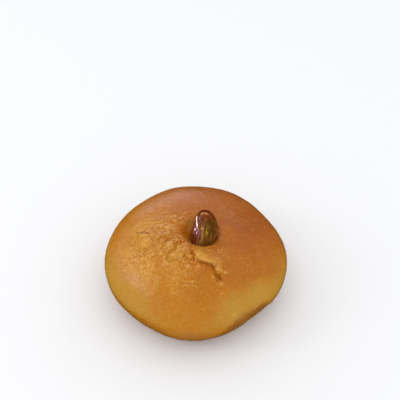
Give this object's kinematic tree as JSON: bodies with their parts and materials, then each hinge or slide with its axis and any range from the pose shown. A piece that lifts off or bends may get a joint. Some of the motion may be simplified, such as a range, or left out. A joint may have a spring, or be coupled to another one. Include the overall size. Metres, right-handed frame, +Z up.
{
  "type": "sekerpare",
  "caption": "Round domed semolina biscuit soaked in syrup, with a browned, torn and wrinkled crust and a pistachio kernel standing in a hollow at its crown; a sweet to eat.",
  "frame": {"origin": "middle of the footprint, on the flat resting face", "axes": "+Z up through the crown; -Y towards the side with the torn crust, which faces the viewer; +X to the viewer's right"},
  "size_m": [0.0606, 0.0608, 0.0348],
  "materials": {
    "crust": "satin",
    "kernel": "gloss"
  },
  "bodies": {
    "root": {"biscuit": "crust", "pistachio_kernel": "kernel"}
  },
  "joints": []
}
